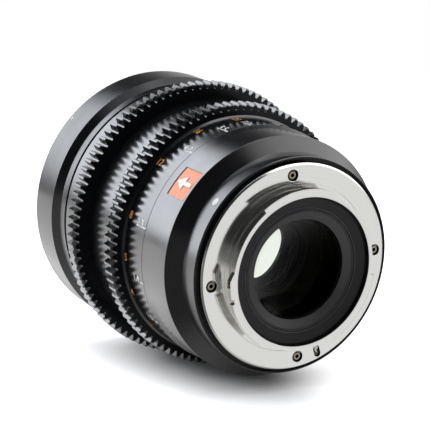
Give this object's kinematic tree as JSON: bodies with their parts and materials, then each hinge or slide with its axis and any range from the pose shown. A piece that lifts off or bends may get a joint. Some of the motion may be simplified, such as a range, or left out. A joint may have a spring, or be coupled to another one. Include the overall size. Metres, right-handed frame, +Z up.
{
  "type": "cinema prime lens",
  "caption": "Cinema prime lens with a geared iris ring, a geared focus ring on a helical cam, a bladed iris that closes, coated glass in cells and a steel bayonet mount.",
  "frame": {"origin": "centre of the mount flange's rear face, on the optical axis", "axes": "+Y along the optical axis towards the front of the lens, +Z up, with the index line up and to the left as seen from the rear"},
  "size_m": [0.0832, 0.0892, 0.0832],
  "materials": {
    "black_anodised": "satin black anodised",
    "matte_black_anodised": "matte black anodised",
    "plain_alloy": "grey anodised",
    "mount_steel": "turned and brushed",
    "screw_steel": "passivated, slightly golden",
    "brass": "machined",
    "blackened_steel": "blackened",
    "orange_enamel": "satin enamel",
    "coated_glass": "anti-reflection coated"
  },
  "bodies": {
    "lens_body": {"front_ring": "black_anodised", "front_trim_ring": "matte_black_anodised", "front_cell": "matte_black_anodised", "front_lock_ring": "matte_black_anodised", "front_element": "coated_glass", "second_element": "coated_glass", "third_element": "coated_glass", "front_spacer": "matte_black_anodised", "main_barrel": "black_anodised", "iris_housing": "matte_black_anodised", "iris_retainer": "plain_alloy", "rear_barrel": "black_anodised", "index_plate": "orange_enamel", "mount_housing": "matte_black_anodised", "mount_flange": "mount_steel", "mount_screws": "screw_steel", "rear_cell": "matte_black_anodised", "inner_rear_element": "coated_glass", "rear_spacer": "matte_black_anodised", "rear_lock_ring": "matte_black_anodised", "rear_element": "coated_glass", "rear_baffle": "matte_black_anodised"},
    "iris_ring": {"iris_ring": "black_anodised", "iris_key": "brass", "iris_cam_ring": "blackened_steel"},
    "focus_ring": {"focus_ring": "black_anodised"},
    "focus_group": {"focus_carrier": "plain_alloy", "focus_pins": "brass", "focus_front_element": "coated_glass", "focus_rear_element": "coated_glass", "focus_spacer": "matte_black_anodised", "focus_lock_ring": "matte_black_anodised"},
    "iris_blade_1": {"iris_blade_1": "blackened_steel"},
    "iris_blade_2": {"iris_blade_2": "blackened_steel"},
    "iris_blade_3": {"iris_blade_3": "blackened_steel"},
    "iris_blade_4": {"iris_blade_4": "blackened_steel"},
    "iris_blade_5": {"iris_blade_5": "blackened_steel"},
    "iris_blade_6": {"iris_blade_6": "blackened_steel"},
    "iris_blade_7": {"iris_blade_7": "blackened_steel"},
    "iris_blade_8": {"iris_blade_8": "blackened_steel"},
    "iris_blade_9": {"iris_blade_9": "blackened_steel"}
  },
  "joints": [
    {"name": "iris_turn", "type": "hinge", "parent": "lens_body", "child": "iris_ring", "pos_m": [0, 0.0557, 0], "axis": [0, 1, 0], "range_deg": [0, 75]},
    {"name": "focus_turn", "type": "hinge", "parent": "lens_body", "child": "focus_ring", "pos_m": [0, 0.0318, 0], "axis": [0, 1, 0], "range_deg": [-135, 135]},
    {"name": "focus_slide", "type": "slide", "parent": "lens_body", "child": "focus_group", "axis": [0, 1, 0], "range_m": [-0.00375, 0.00375]},
    {"name": "blade_1_turn", "type": "hinge", "parent": "lens_body", "child": "iris_blade_1", "pos_m": [-0.0238, 0.0585, -0.00313], "axis": [0, 1, 0], "range_deg": [0, 34]},
    {"name": "blade_2_turn", "type": "hinge", "parent": "lens_body", "child": "iris_blade_2", "pos_m": [-0.02024, 0.0585, 0.0129], "axis": [0, 1, 0], "range_deg": [0, 34]},
    {"name": "blade_3_turn", "type": "hinge", "parent": "lens_body", "child": "iris_blade_3", "pos_m": [-0.00722, 0.0585, 0.02289], "axis": [0, 1, 0], "range_deg": [0, 34]},
    {"name": "blade_4_turn", "type": "hinge", "parent": "lens_body", "child": "iris_blade_4", "pos_m": [0.00918, 0.0585, 0.02217], "axis": [0, 1, 0], "range_deg": [0, 34]},
    {"name": "blade_5_turn", "type": "hinge", "parent": "lens_body", "child": "iris_blade_5", "pos_m": [0.02129, 0.0585, 0.01108], "axis": [0, 1, 0], "range_deg": [0, 34]},
    {"name": "blade_6_turn", "type": "hinge", "parent": "lens_body", "child": "iris_blade_6", "pos_m": [0.02343, 0.0585, -0.00519], "axis": [0, 1, 0], "range_deg": [0, 34]},
    {"name": "blade_7_turn", "type": "hinge", "parent": "lens_body", "child": "iris_blade_7", "pos_m": [0.01461, 0.0585, -0.01904], "axis": [0, 1, 0], "range_deg": [0, 34]},
    {"name": "blade_8_turn", "type": "hinge", "parent": "lens_body", "child": "iris_blade_8", "pos_m": [-0.00105, 0.0585, -0.02398], "axis": [0, 1, 0], "range_deg": [0, 34]},
    {"name": "blade_9_turn", "type": "hinge", "parent": "lens_body", "child": "iris_blade_9", "pos_m": [-0.01621, 0.0585, -0.01769], "axis": [0, 1, 0], "range_deg": [0, 34]}
  ],
  "couplings": [
    {"joint": "focus_slide", "follows": "focus_turn", "m_per_rad": 0.0015915},
    {"joint": "blade_1_turn", "follows": "iris_turn", "ratio": 0.45333},
    {"joint": "blade_2_turn", "follows": "iris_turn", "ratio": 0.45333},
    {"joint": "blade_3_turn", "follows": "iris_turn", "ratio": 0.45333},
    {"joint": "blade_4_turn", "follows": "iris_turn", "ratio": 0.45333},
    {"joint": "blade_5_turn", "follows": "iris_turn", "ratio": 0.45333},
    {"joint": "blade_6_turn", "follows": "iris_turn", "ratio": 0.45333},
    {"joint": "blade_7_turn", "follows": "iris_turn", "ratio": 0.45333},
    {"joint": "blade_8_turn", "follows": "iris_turn", "ratio": 0.45333},
    {"joint": "blade_9_turn", "follows": "iris_turn", "ratio": 0.45333}
  ]
}
